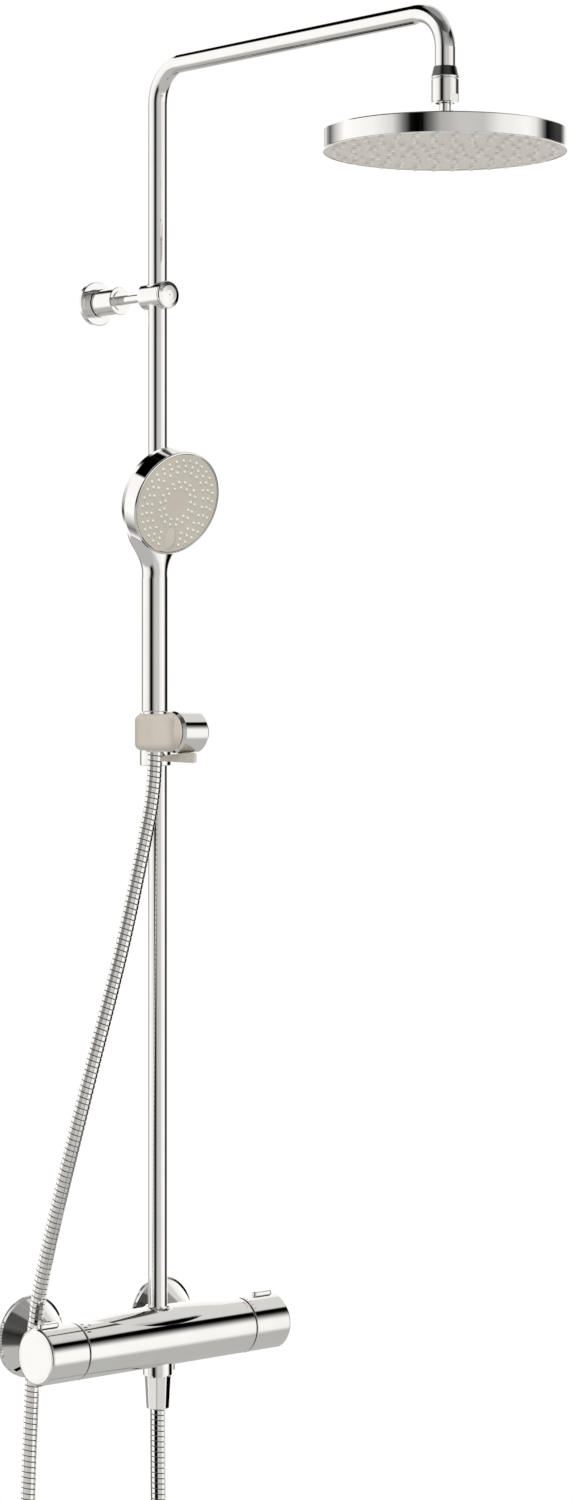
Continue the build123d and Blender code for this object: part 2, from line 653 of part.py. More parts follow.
def spray_plate():
    """Turning spray face with its holes."""
    plate = Circle(FACE_PLATE_R)
    holes = Sketch() + [Pos(*p) * Circle(SPRAY_R + 0.03) for p in spray_places()]
    return on_face(-3.0) * extrude(plate - holes, 3.1)


def spray_nozzles():
    top = -3.05
    pins = Sketch() + [Pos(*p) * Circle(SPRAY_R) for p in spray_places()]
    mat = on_face(top - 1.2) * extrude(Circle(41.5), 1.2)
    return mat + on_face(top) * extrude(pins, -top + 1.1)


def selector_tab():
    """Petal-shaped thumb tab at the foot of the spray face."""
    half, low, high = 6.6, -41.5, -20.5
    widest = (low + high) / 2 - 2.0
    left = ThreePointArc((0, high), (-half, widest), (0, low))
    right = ThreePointArc((0, low), (half, widest), (0, high))
    return on_face(0.12) * extrude(make_face([left, right]), 2.6, taper=22)


def spray_chamber():
    """Water chamber behind the mat, fixed in the drum."""
    return on_face() * turned([(0, -DRUM_DEPTH + 3.2), (30.0, -DRUM_DEPTH + 3.2), (41.8, -14.0),
                               (41.8, -4.6), (0, -4.6)])


# ---- hose ---------------------------------------------------------------------------------------
HOSE_TOP = CONE_LOW - 2.0
HOSE_LOW_NUT = (-60.5, -32.0)
# Route of the hose's centre line: from the hand shower down in front of the left inlet and behind the
# left handle, round its free loop below the mixer, and up to the mixer. Both ends leave their nuts
# straight.
HOSE_ROUTE = [
    (HOLDER_X, SLIDER_Y, HOSE_TOP),
    (HOLDER_X, SLIDER_Y, 482.0),
    (-46.0, -119.0, 425.0),
    (-61.0, -115.5, 358.0),
    (-76.0, -111.0, 300.0),
    (-89.0, -104.5, 245.0),
    (-98.5, -95.5, 192.0),
    (-105.0, -82.0, 136.0),
    (-108.5, -66.0, 80.0),
    (-109.5, -51.5, 24.0),
    (-109.0, -47.5, -34.0),
    (-113.0, -48.5, -92.0),
    (-116.5, -50.5, -150.0),
    (-119.0, -50.0, -210.0),
    (-121.5, -49.0, -270.0),
    (-122.5, -48.5, -336.0),
    (-122.3, -48.3, -385.0),
    (-120.5, -49.0, -431.0),
    (-104.0, -54.0, -461.0),
    (-75.0, -63.0, -478.5),
    (-41.5, -73.5, -478.5),
    (-12.5, -83.0, -461.0),
    (4.3, -88.0, -430.5),
    (6.3, -89.0, -385.0),
    (6.0, -88.5, -340.0),
    (4.5, -88.0, -268.0),
    (1.5, -87.0, -200.0),
    (0.0, COLUMN_Y, -128.0),
    (0.0, COLUMN_Y, HOSE_LOW_NUT[0]),
]


def corner_radii(route):
    """The largest arc that each corner's two runs allow."""
    points = [Vector(*p) for p in route]
    radii = []
    for before, here, after in zip(points, points[1:], points[2:]):
        turn = (here - before).get_angle(after - here)
        shorter = min((here - before).length, (after - here).length)
        radii.append(0.45 * shorter / math.tan(math.radians(turn) / 2))
    return radii


def hose_tube():
    radii = corner_radii(HOSE_ROUTE)
    path = FilletPolyline(*HOSE_ROUTE, radius=radii)
    start = Plane(origin=path @ 0, z_dir=path % 0)
    tube = sweep(start * (Circle(HOSE_R) - Circle(HOSE_R - 2.0)), path)
    print("hose radii", [round(r) for r in radii])
    print("hose length", round(path.length, 1), "volume", round(tube.volume),
          "section times length", round(math.pi * (HOSE_R ** 2 - (HOSE_R - 2) ** 2) * path.length))
    return tube


def hose_cone():
    """Tapered nut at the hand shower's end, seated in the holder's cup."""
    profile = [(5.0, CONE_LOW - 2.0), (CONE_LOW_R - 1.6, CONE_LOW - 2.0), (CONE_LOW_R, CONE_LOW),
               (CONE_TOP_R, CONE_TOP), (8.7, CONE_TOP), (8.7, CONE_TOP + 11.0), (5.0, CONE_TOP + 11.0)]
    return turned_z(profile, HOLDER_X, SLIDER_Y)


def cone_washer():
    return ring_z(8.6, 5.2, CONE_TOP + 11.1, CONE_TOP + 12.9, HOLDER_X, SLIDER_Y)


def hose_nut():
    """Tapered eight-sided nut at the mixer's end."""
    low, high = HOSE_LOW_NUT
    small = Plane((0, COLUMN_Y, low)) * RegularPolygon(10.0, 8)
    large = Plane((0, COLUMN_Y, high)) * RegularPolygon(11.6, 8)
    nut = loft([small, large]) & turned_z([(0, low), (9.8, low), (11.4, high), (0, high)])
    nut -= along_z(9.3, -43.0, high + 1)
    nut -= along_z(5.0, low - 1, -42.0)
    return nut - along_z(11.1, -33.0, high + 1)


def main():
    os.makedirs("parts", exist_ok=True)
    write("s_union_left", s_union(INLETS[0]))
    write("s_union_right", s_union(INLETS[1]))
    write("rosette_left", rosette(INLETS[0]))
    write("rosette_right", rosette(INLETS[1]))
    write("union_nuts", [union_nut(x) for x in INLETS])
    write("filter_washers", [filter_washer(x) for x in INLETS])
    write("check_valves", [check_valve(x) for x in INLETS])
    write("mixer_body", mixer_body())
    write("flow_cartridge", cartridge(-1))
    write("thermostat_cartridge", cartridge(1))
    write("cartridge_nuts", [cartridge_nut(side) for side in SIDES])
    write("stop_rings", [stop_ring(side) for side in SIDES])
    write("mixer_seals", [cartridge_seal(side) for side in SIDES] + [riser_seal(z) for z in RISER_SEAL_Z])
    write("outlet_nipple", outlet_nipple())
    write("riser_screw", riser_screw())
    for side, name in zip(SIDES, ("flow", "temperature")):
        write(f"{name}_handle", handle_shell(side))
        write(f"{name}_cap", handle_cap(side))
        write(f"{name}_adapter", handle_adapter(side))
        write(f"{name}_spindle", spindle(side))
        write(f"{name}_button", button(side))
        write(f"{name}_button_spring", button_spring(side))
    write("riser_tube", riser_tube())
    write("arm_collar", arm_collar())
    write("swivel_ring", swivel_ring())
    write("swivel_nut", swivel_nut())
    write("ball_seal", ball_seal())
    write("head_ball", head_ball())
    write("head_shell", head_shell())
    write("head_faceplate", head_faceplate())
    write("head_nozzles", head_nozzles())
    write("bracket_flange", bracket_flange())
    write("bracket_sleeve", bracket_sleeve())
    write("bracket_rod", bracket_rod())
    write("bracket_clamp", bracket_clamp())
    write("clamp_bush", clamp_bush())
    write("bracket_screw", bracket_screw())
    write("bracket_cap", bracket_cap())
    write("slider_body", slider_body())
    write("slider_bush", slider_bush())
    write("release_lever", release_lever())
    write("lever_pin", lever_pin())
    write("friction_ring", friction_ring())
    write("holder", holder())
    write("holder_pin", holder_pin())
    write("handset_body", handset_body())
    write("face_ring", face_ring())
    write("spray_plate", spray_plate())
    write("spray_nozzles", spray_nozzles())
    write("selector_tab", selector_tab())
    write("spray_chamber", spray_chamber())
    write("hose_tube", hose_tube())
    write("hose_cone", hose_cone())
    write("cone_washer", cone_washer())
    write("hose_nut", hose_nut())


main()
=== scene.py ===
import json
import math

import bpy
import numpy as np
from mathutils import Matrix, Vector
from mathutils.bvhtree import BVHTree


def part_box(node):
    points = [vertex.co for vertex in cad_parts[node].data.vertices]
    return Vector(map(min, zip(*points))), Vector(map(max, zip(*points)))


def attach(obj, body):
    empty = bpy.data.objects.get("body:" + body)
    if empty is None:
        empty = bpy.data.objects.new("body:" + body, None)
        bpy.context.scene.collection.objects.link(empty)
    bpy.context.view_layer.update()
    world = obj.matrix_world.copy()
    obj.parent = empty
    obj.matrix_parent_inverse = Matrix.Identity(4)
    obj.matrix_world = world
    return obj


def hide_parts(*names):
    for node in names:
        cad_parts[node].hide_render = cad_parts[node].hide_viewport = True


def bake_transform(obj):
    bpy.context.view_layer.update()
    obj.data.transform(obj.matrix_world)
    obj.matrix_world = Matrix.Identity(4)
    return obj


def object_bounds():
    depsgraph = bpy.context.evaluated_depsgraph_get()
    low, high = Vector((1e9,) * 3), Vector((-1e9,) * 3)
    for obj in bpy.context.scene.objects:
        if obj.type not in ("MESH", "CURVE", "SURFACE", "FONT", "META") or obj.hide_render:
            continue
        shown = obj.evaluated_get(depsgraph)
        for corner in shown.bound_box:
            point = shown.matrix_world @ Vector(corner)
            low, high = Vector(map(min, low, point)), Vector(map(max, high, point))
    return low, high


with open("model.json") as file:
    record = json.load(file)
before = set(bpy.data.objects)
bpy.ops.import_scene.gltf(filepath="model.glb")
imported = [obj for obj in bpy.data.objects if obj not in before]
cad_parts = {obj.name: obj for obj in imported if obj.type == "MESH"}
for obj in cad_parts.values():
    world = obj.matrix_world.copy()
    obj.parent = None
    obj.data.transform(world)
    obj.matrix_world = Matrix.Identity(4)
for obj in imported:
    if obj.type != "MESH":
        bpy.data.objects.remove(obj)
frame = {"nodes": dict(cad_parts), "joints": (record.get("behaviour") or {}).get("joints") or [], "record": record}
cad_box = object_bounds()
RECORD = frame["record"]
JOINTS = {joint["name"]: joint for joint in frame["joints"]}
MM = 0.001


# ---- places taken from the frame ----------------------------------------------------------------
def middle(node):
    low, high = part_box(node)
    return (low + high) / 2


BAR = middle("flow_spindle")              # its Y and Z are those of the mixer bar's axis
BAR_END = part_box("mixer_body")[1].x       # half length of the fixed bar
RISER = middle("bracket_clamp")
HEAD_AXIS = middle("head_shell")
HEAD_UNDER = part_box("head_shell")[0].z
FACE_NORMAL = Vector(JOINTS["spray_select"]["axis"])
FACE_CENTRE = Vector(JOINTS["spray_select"]["pos_m"])


# ---- camera -------------------------------------------------------------------------------------
CAMERA_PLACE = (-1.98346, -2.42286, 0.54955)
CAMERA_TURN = math.radians(42.97)         # from facing the wall, towards the right
CAMERA_LENS = 84.07
CAMERA_SHIFT = (-0.0221, -0.0270)


def make_camera():
    data = bpy.data.cameras.new("camera")
    data.sensor_width = 36.0
    data.lens = CAMERA_LENS
    data.shift_x, data.shift_y = CAMERA_SHIFT
    camera = bpy.data.objects.new("camera", data)
    camera.location = CAMERA_PLACE
    camera.rotation_euler = (math.pi / 2, 0, -CAMERA_TURN)
    bpy.context.scene.collection.objects.link(camera)
    bpy.context.scene.camera = camera


# ---- mesh helpers -------------------------------------------------------------------------------
def add_piece(name, points, faces, material, body=None, smooth=True):
    mesh = bpy.data.meshes.new(name)
    mesh.from_pydata([tuple(p) for p in points], [], faces)
    mesh.validate()
    mesh.update()
    mesh.polygons.foreach_set("use_smooth", [smooth] * len(mesh.polygons))
    piece = bpy.data.objects.new(name, mesh)
    bpy.context.scene.collection.objects.link(piece)
    piece.data.materials.append(material)
    if body:
        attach(piece, body)
    return piece


def lathe(profile, segments, place):
    """Rings of (radius, height) points; place turns a local point into one of the row frame."""
    points, faces = [], []
    for radius, height in profile:
        for k in range(segments):
            turn = 2 * math.pi * k / segments
            points.append(place(Vector((radius * math.cos(turn), radius * math.sin(turn), height))))
    for ring in range(len(profile) - 1):
        for k in range(segments):
            a, b = ring * segments + k, ring * segments + (k + 1) % segments
            faces.append((a, b, b + segments, a + segments))
    return points, faces


def joined(parts):
    """One list of points and one of faces from several."""
    points, faces = [], []
    for some_points, some_faces in parts:
        start = len(points)
        points += some_points
        faces += [tuple(i + start for i in face) for face in some_faces]
    return points, faces


# ---- materials ----------------------------------------------------------------------------------
def new_graph(name):
    material = bpy.data.materials.new(name)
    material.use_nodes = True
    tree = material.node_tree
    tree.nodes.clear()
    return material, tree


def node(tree, kind, **settings):
    made = tree.nodes.new(kind)
    for key, value in settings.items():
        setattr(made, key, value)
    return made


def noise(tree, where, scale, detail=3.0):
    made = node(tree, "ShaderNodeTexNoise")
    made.inputs["Scale"].default_value = scale
    made.inputs["Detail"].default_value = detail
    tree.links.new(where, made.inputs["Vector"])
    return made.outputs["Fac"]


def between(tree, factor, low, high, start=0.3, end=0.7):
    made = node(tree, "ShaderNodeMapRange")
    made.inputs["From Min"].default_value = start
    made.inputs["From Max"].default_value = end
    made.inputs["To Min"].default_value = low
    made.inputs["To Max"].default_value = high
    tree.links.new(factor, made.inputs["Value"])
    return made.outputs["Result"]


def ramp(tree, factor, stops):
    made = node(tree, "ShaderNodeValToRGB")
    points = made.color_ramp.elements
    while len(points) < len(stops):
        points.new(0.5)
    for point, (place, colour) in zip(points, stops):
        point.position = place
        point.color = (*colour, 1.0)
    tree.links.new(factor, made.inputs["Fac"])
    return made.outputs["Color"]


def finish_of(name, dark, light, rough, patch=35.0, grain=900.0, grain_depth=0.0, painted_groove_shade=None, **shader):
    """A surface with slow patches of colour, uneven gloss and, if it has a depth, a fine grain.

    Scales are per metre, the grain's depth is in metres, the groove colour is painted shade, laid in by a point
    attribute that marks grooves and gaps from 0 to 1, and shader holds constant sockets."""
    material, tree = new_graph(name)
    where = node(tree, "ShaderNodeTexCoord").outputs["Object"]
    slow = noise(tree, where, patch)
    fine = noise(tree, where, grain, 2.0)
    base = node(tree, "ShaderNodeBsdfPrincipled")
    colour = ramp(tree, slow, [(0.3, dark), (0.7, light)])
    # Painted shade: grooves and gaps are darkened in the colour, by the amount in a point attribute.
    if painted_groove_shade:
        mix = node(tree, "ShaderNodeMix", data_type="RGBA")
        depth = node(tree, "ShaderNodeAttribute", attribute_name="groove_shade_amount")
        tree.links.new(depth.outputs["Fac"], mix.inputs["Factor"])
        tree.links.new(colour, mix.inputs[6])
        mix.inputs[7].default_value = (*painted_groove_shade, 1.0)
        colour = mix.outputs[2]
    tree.links.new(colour, base.inputs["Base Color"])
    tree.links.new(between(tree, fine, *rough), base.inputs["Roughness"])
    for socket, value in shader.items():
        base.inputs[socket.replace("_", " ")].default_value = value
    if grain_depth:
        bump = node(tree, "ShaderNodeBump")
        bump.inputs["Strength"].default_value = 1.0
        bump.inputs["Distance"].default_value = grain_depth
        tree.links.new(fine, bump.inputs["Height"])
        tree.links.new(bump.outputs["Normal"], base.inputs["Normal"])
    out = node(tree, "ShaderNodeOutputMaterial")
    tree.links.new(base.outputs["BSDF"], out.inputs["Surface"])
    return material


def grey(value):
    return (value, value * 0.995, value * 0.975)


def make_finishes():
    """One finish for each material slot of the record, and those that only the scene uses."""
    made = {
        "chrome": finish_of("chrome", grey(0.86), grey(0.89), (0.012, 0.03), Metallic=1.0),
        "steel": finish_of("steel", grey(0.50), grey(0.60), (0.18, 0.30), grain_depth=6e-6, Metallic=1.0),
        "brass": finish_of("brass", (0.62, 0.44, 0.20), (0.74, 0.56, 0.30), (0.16, 0.32),
                           grain_depth=1e-5, Metallic=1.0),
        "greige": finish_of("greige", (0.520, 0.477, 0.410), (0.555, 0.508, 0.437), (0.30, 0.42),
                            grain=2600.0, grain_depth=1.2e-5, Specular_IOR_Level=0.45),
        "silicone": finish_of("silicone", (0.82, 0.80, 0.75), (0.90, 0.88, 0.84), (0.28, 0.42)),
        "rubber": finish_of("rubber", (0.012, 0.012, 0.012), (0.03, 0.03, 0.03), (0.55, 0.75),
                            grain_depth=1e-5),
        "black_plastic": finish_of("black_plastic", (0.012, 0.012, 0.013), (0.025, 0.025, 0.026),
                                   (0.28, 0.42), grain_depth=6e-6),
        "white_plastic": finish_of("white_plastic", (0.70, 0.70, 0.68), (0.80, 0.80, 0.78),
                                   (0.30, 0.45), grain_depth=6e-6),
        # The hose wrap's grooves and gaps take a near-black colour as painted shade.
        "hose_metal": finish_of("hose_metal", grey(0.84), grey(0.90), (0.06, 0.12), patch=120.0,
                                painted_groove_shade=grey(0.09), Metallic=1.0),
        "dark_chrome": finish_of("dark_chrome", grey(0.10), grey(0.14), (0.10, 0.18), Metallic=1.0),
        "black_mark": finish_of("black_mark", (0.02, 0.02, 0.02), (0.05, 0.05, 0.05), (0.35, 0.5)),
        "red_mark": finish_of("red_mark", (0.45, 0.03, 0.04), (0.58, 0.05, 0.06), (0.35, 0.5)),
    }
    return made


def paint_frame(finishes):
    """Each carried-over CAD node takes the finish of its slot in the record, but the arm collar takes dark chrome.
    """
    slots = {part["node"]: part["material_slot"] for part in RECORD["subparts"]}
    slots["arm_collar"] = "dark_chrome"
    for name, piece in frame["nodes"].items():
        piece.data.materials.clear()
        piece.data.materials.append(finishes[slots[name]])


# ---- hose ---------------------------------------------------------------------------------------
HOSE_R = 6.5 * MM
HOSE_ROUTE = [
    (-0.0330, -0.1210, 0.5129),
    (-0.0330, -0.1210, 0.4820),
    (-0.0460, -0.1190, 0.4250),
    (-0.0610, -0.1155, 0.3580),
    (-0.0760, -0.1110, 0.3000),
    (-0.0890, -0.1045, 0.2450),
    (-0.0985, -0.0955, 0.1920),
    (-0.1050, -0.0820, 0.1360),
    (-0.1085, -0.0660, 0.0800),
    (-0.1095, -0.0515, 0.0240),
    (-0.1090, -0.0475, -0.0340),
    (-0.1130, -0.0485, -0.0920),
    (-0.1165, -0.0505, -0.1500),
    (-0.1190, -0.0500, -0.2100),
    (-0.1215, -0.0490, -0.2700),
    (-0.1225, -0.0485, -0.3360),
    (-0.1223, -0.0483, -0.3850),
    (-0.1205, -0.0490, -0.4310),
    (-0.1040, -0.0540, -0.4610),
    (-0.0750, -0.0630, -0.4785),
    (-0.0415, -0.0735, -0.4785),
    (-0.0125, -0.0830, -0.4610),
    (0.0043, -0.0880, -0.4305),
    (0.0063, -0.0890, -0.3850),
    (0.0060, -0.0885, -0.3400),
    (0.0045, -0.0880, -0.2680),
    (0.0015, -0.0870, -0.2000),
    (0.0000, -0.0860, -0.1280),
    (0.0000, -0.0860, -0.0605),
]
HOSE_PITCH = 4.6 * MM
HOSE_CELLS = 13                           # flat lands round each ring of the metal wrap
GROOVE = 0.62 * MM
FLUTE = 0.12 * MM
# The wrap over one pitch: (share of the pitch, share of the groove's depth below the crown).
RING_PROFILE = [(0.0, 1.0), (0.04, 0.9), (0.08, 0.1), (0.11, 0.0), (0.89, 0.0), (0.92, 0.1),
                (0.96, 0.9)]
# The same round one cell: (share of the cell, share of the flute's depth).
CELL_PROFILE = [(0.0, 1.0), (0.06, 0.0), (0.94, 0.0)]


def route_line(route):
    """Points along the NURBS curve whose control points are the route's."""
    curve = bpy.data.curves.new("hose_route", "CURVE")
    curve.dimensions = "3D"
    spline = curve.splines.new("NURBS")
    spline.points.add(len(route) - 1)
    for point, place in zip(spline.points, route):
        point.co = (*place, 1.0)
    spline.order_u = 3
    spline.use_endpoint_u = True
    spline.resolution_u = 24
    holder = bpy.data.objects.new("hose_route", curve)
    mesh = bpy.data.meshes.new_from_object(holder)
    line = np.array([tuple(v.co) for v in mesh.vertices])
    bpy.data.meshes.remove(mesh)
    bpy.data.curves.remove(curve)
    return line


class Line:
    """A smooth line with a frame that doesn't twist along it."""

    def __init__(self, points):
        steps = np.linalg.norm(np.diff(points, axis=0), axis=1)
        keep = np.concatenate([[True], steps > 1e-7])
        self.points = points[keep]
        steps = np.linalg.norm(np.diff(self.points, axis=0), axis=1)
        self.along = np.concatenate([[0.0], np.cumsum(steps)])
        self.length = float(self.along[-1])
        tangents = np.gradient(self.points, self.along, axis=0)
        tangents /= np.linalg.norm(tangents, axis=1)[:, None]
        side = np.array([1.0, 0.0, 0.0])
        sides = []
        for tangent in tangents:
            side = side - tangent * (side @ tangent)
            side = side / np.linalg.norm(side)
            sides.append(side)
        self.tangents, self.sides = tangents, np.array(sides)

    def at(self, distance):
        """Place, tangent and two cross directions at a distance from the start."""
        distance = min(max(distance, 0.0), self.length)
        pick = [np.array([np.interp(distance, self.along, table[:, k]) for k in range(3)])
                for table in (self.points, self.tangents, self.sides)]
        place, tangent, side = pick
        tangent = tangent / np.linalg.norm(tangent)
        side = side - tangent * (side @ tangent)
        side = side / np.linalg.norm(side)
        return place, tangent, side, np.cross(tangent, side)


def groove_at(pitches):
    """Share of the groove's depth at any distance along the wrap, in pitches."""
    shares, drops = zip(*RING_PROFILE, (1.0, 1.0))
    return float(np.interp(pitches % 1.0, shares, drops))


def wrapped_hose(line, start, end, pitch):
    """Metal wrap between two distances: one helical ridge per pitch, in flat lands with fine gaps.

    Gives the points, the faces and, for each point, how much painted shade its groove or gap gets, from 0 to 1."""
    round_ring = [((cell + share) / HOSE_CELLS, drop) for cell in range(HOSE_CELLS)
                  for share, drop in CELL_PROFILE]
    sides = len(round_ring)
    first, last = math.floor(start / pitch) - 1, math.ceil(end / pitch) + 1
    rows = [(turn + share, drop) for turn in range(first, last + 1) for share, drop in RING_PROFILE]
    rows = [(p * pitch, drop) for p, drop in rows if start - pitch < p * pitch < end + pitch]
    points, painted_groove_shade = [], []
    for distance, groove in rows:
        for share, flute in round_ring:
            along = distance - pitch * share
            inside = min(max(along, start), end)
            here = groove if inside == along else groove_at(inside / pitch + share)
            radius = HOSE_R - GROOVE * here - FLUTE * flute * (1 - here)
            place, _, side, up = line.at(inside)
            turn = 2 * math.pi * share
            points.append(place + radius * (math.cos(turn) * side + math.sin(turn) * up))
            # Painted shade amount: full down in a groove, a little over half in the fine gaps between lands.
            painted_groove_shade.append(max(here, 0.55 * flute))
    faces = []
    per_turn = len(RING_PROFILE)
    for row in range(len(rows) - 1):
        for k in range(sides - 1):
            a = row * sides + k
            faces.append((a, a + 1, a + 1 + sides, a + sides))
        before = row - per_turn
        if before >= 0:
            a, b = row * sides, before * sides + sides - 1
            faces.append((b, a, a + sides, b + sides))
    return points, faces, painted_groove_shade


def make_hose(finishes):
    """The hose in four lengths, cut where it passes from one moving body to the next."""
    line = Line(route_line(HOSE_ROUTE))
    pitch = line.length / round(line.length / HOSE_PITCH)
    cuts = [0.0, 18 * pitch, 36 * pitch, 208 * pitch, line.length]
    names = ["hose_end", "hose_bend", "hose_run", "hose_supply"]
    bodies = [("holder", "handset"), ("slider", "holder"), ("column", "slider"), None]
    for name, pair, start, end in zip(names, bodies, cuts, cuts[1:]):
        points, faces, painted_groove_shade = wrapped_hose(line, start, end, pitch)
        piece = add_piece(name, points, faces, finishes["hose_metal"], smooth=False)
        # The painted groove shade goes on each piece as a point attribute.
        piece.data.attributes.new("groove_shade_amount", "FLOAT", "POINT").data.foreach_set("value", painted_groove_shade)
        if pair:
            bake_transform(piece)
        else:
            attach(piece, "column")
        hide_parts("hose_tube")


# ---- studio -------------------------------------------------------------------------------------
FLOOR_GAP = 25 * MM
DOME_R = 20.0
# Brightness that polished metal sees, by the angle from the camera's own direction in degrees, positive
# to the camera's right. At camera height: white walls, two black flags at the back and a soft one left
# of the camera. Higher up a black flag on the right, and over it one on the left.
WALL_TONES = [(-180, 1.05), (-152, 0.95), (-143, 0.30), (-136, 0.05), (-124, 0.55), (-108, 1.05),
              (-70, 0.95), (-50, 0.75), (-39, 0.18), (-33, 0.0), (-21, 0.0), (-13, 0.18), (-5, 0.45),
              (12, 0.60), (34, 0.58), (50, 0.92), (78, 1.05), (90, 0.90), (100, 0.20), (105, 0.0),
              (132, 0.0), (138, 0.25), (145, 0.85), (154, 1.05), (180, 1.05)]
UPPER_TONES = [(-180, 1.0), (-60, 1.0), (-42, 0.25), (-27, 0.0), (-12, 0.22), (10, 0.35), (40, 0.30),
               (60, 0.10), (80, 0.0), (104, 0.0), (112, 0.30), (122, 0.80), (180, 1.0)]
TOP_TONES = [(-180, 0.85), (-165, 1.0), (-158, 0.0), (-80, 0.0), (-60, 0.10), (0, 0.05), (60, 0.20),
             (95, 0.50), (105, 0.69), (170, 0.70), (180, 0.80)]
# Elevations in degrees over which each band gives way to the next.
FLOOR_TO_WALL = (-30, -16)
WALL_TO_UPPER = (9, 32)
UPPER_TO_TOP = (38, 42)
TOP_TO_ZENITH = (62, 70)
FLOOR_TONE = 0.48
FLOOR_FLAG = (-172, -125)                 # a dark patch low at the back left
FLOOR_FLAG_TOP = (-42, -36)
ZENITH_TONE = 0.30
DOME_GAIN = 1.08
WARMTH = (1.0, 0.995, 0.98)


def dome_material():
    material, tree = new_graph("studio_walls")
    position = node(tree, "ShaderNodeNewGeometry").outputs["Position"]
    back = Vector((-math.sin(CAMERA_TURN), -math.cos(CAMERA_TURN), 0))
    right = Vector((math.cos(CAMERA_TURN), -math.sin(CAMERA_TURN), 0))

    def component(direction):
        dot = node(tree, "ShaderNodeVectorMath", operation="DOT_PRODUCT")
        tree.links.new(position, dot.inputs[0])
        dot.inputs[1].default_value = direction / DOME_R
        return dot.outputs["Value"]

    def math_node(operation, a, b=None):
        made = node(tree, "ShaderNodeMath", operation=operation)
        for socket, value in zip(made.inputs, (a, b)):
            if isinstance(value, (int, float)):
                socket.default_value = value
            elif value is not None:
                tree.links.new(value, socket)
        return made.outputs[0]

    def mixed(factor, a, b):
        made = node(tree, "ShaderNodeMix", data_type="RGBA")
        tree.links.new(factor, made.inputs["Factor"])
        for socket, value in ((made.inputs[6], a), (made.inputs[7], b)):
            if isinstance(value, float):
                socket.default_value = (value, value, value, 1.0)
            else:
                tree.links.new(value, socket)
        return made.outputs[2]

    def risen(degrees):
        """0 below the two elevations and 1 above them."""
        low, high = (math.sin(math.radians(a)) for a in degrees)
        made = between(tree, height, 0.0, 1.0, low, high)
        made.node.interpolation_type = "SMOOTHSTEP"
        return made

    turn = math_node("ARCTAN2", component(right), component(back))
    share = math_node("MULTIPLY_ADD", turn, 1 / (2 * math.pi))
    share.node.inputs[2].default_value = 0.5
    height = component(Vector((0, 0, 1)))
    bands = [ramp(tree, share, [((a + 180) / 360, (t, t, t)) for a, t in tones])
             for tones in (WALL_TONES, UPPER_TONES, TOP_TONES)]
    near, far = ((a + 180) / 360 for a in FLOOR_FLAG)
    flag = math_node("MULTIPLY", between(tree, share, 0.0, 1.0, near, near + 0.01),
                     between(tree, share, 1.0, 0.0, far - 0.01, far))
    flag = math_node("MULTIPLY", flag, math_node("SUBTRACT", 1.0, risen(FLOOR_FLAG_TOP)))
    floor = mixed(flag, FLOOR_TONE, 0.0)
    tone = mixed(risen(FLOOR_TO_WALL), floor, bands[0])
    tone = mixed(risen(WALL_TO_UPPER), tone, bands[1])
    tone = mixed(risen(UPPER_TO_TOP), tone, bands[2])
    tone = mixed(risen(TOP_TO_ZENITH), tone, ZENITH_TONE)
    tint = node(tree, "ShaderNodeVectorMath", operation="MULTIPLY")
    tree.links.new(tone, tint.inputs[0])
    tint.inputs[1].default_value = WARMTH
    tone = tint.outputs["Vector"]
    emission = node(tree, "ShaderNodeEmission")
    emission.inputs["Strength"].default_value = DOME_GAIN
    tree.links.new(tone, emission.inputs["Color"])
    out = node(tree, "ShaderNodeOutputMaterial")
    tree.links.new(emission.outputs["Emission"], out.inputs["Surface"])
    return material


def make_shell(name, radius, material):
    bpy.ops.mesh.primitive_uv_sphere_add(segments=96, ring_count=48, radius=radius)
    shell = bpy.context.object
    shell.name = name
    shell.data.materials.append(material)
    shell.visible_diffuse = False
    shell.visible_shadow = False
    shell.visible_transmission = False
    return shell


def make_dome():
    """Studio walls that only reflections see, far enough away to look the same from every piece, and a
    white backdrop that only the camera sees."""
    make_shell("studio_walls", DOME_R, dome_material()).visible_camera = False
    material, tree = new_graph("backdrop")
    emission = node(tree, "ShaderNodeEmission")
    position = node(tree, "ShaderNodeNewGeometry").outputs["Position"]
    tree.links.new(ramp(tree, noise(tree, position, 0.1), [(0.3, (0.995, 0.995, 0.99)), (0.7, (1, 1, 1))]),
                   emission.inputs["Color"])
    emission.inputs["Strength"].default_value = 1.02
    out = node(tree, "ShaderNodeOutputMaterial")
    tree.links.new(emission.outputs["Emission"], out.inputs["Surface"])
    make_shell("backdrop", DOME_R + 1.0, material).visible_glossy = False


def make_floor():
    """Pale floor that fades out at its rim, so that no horizon shows."""
    material, tree = new_graph("floor")
    where = node(tree, "ShaderNodeTexCoord").outputs["Object"]
    length = node(tree, "ShaderNodeVectorMath", operation="LENGTH")
    tree.links.new(where, length.inputs[0])
    base = node(tree, "ShaderNodeBsdfDiffuse")
    tree.links.new(ramp(tree, noise(tree, where, 2.0), [(0.3, grey(0.80)), (0.7, grey(0.83))]),
                   base.inputs["Color"])
    clear = node(tree, "ShaderNodeBsdfTransparent")
    mix = node(tree, "ShaderNodeMixShader")
    tree.links.new(between(tree, length.outputs["Value"], 0.0, 1.0, 0.6, 1.15), mix.inputs[0])
    tree.links.new(base.outputs[0], mix.inputs[1])
    tree.links.new(clear.outputs[0], mix.inputs[2])
    out = node(tree, "ShaderNodeOutputMaterial")
    tree.links.new(mix.outputs[0], out.inputs["Surface"])
    bpy.ops.mesh.primitive_circle_add(vertices=96, radius=1.2, fill_type="TRIFAN",
                                      location=(0, -0.15, cad_box[0].z - FLOOR_GAP))
    floor = bpy.context.object
    floor.name = "floor"
    floor.data.materials.append(material)
    floor.visible_glossy = False


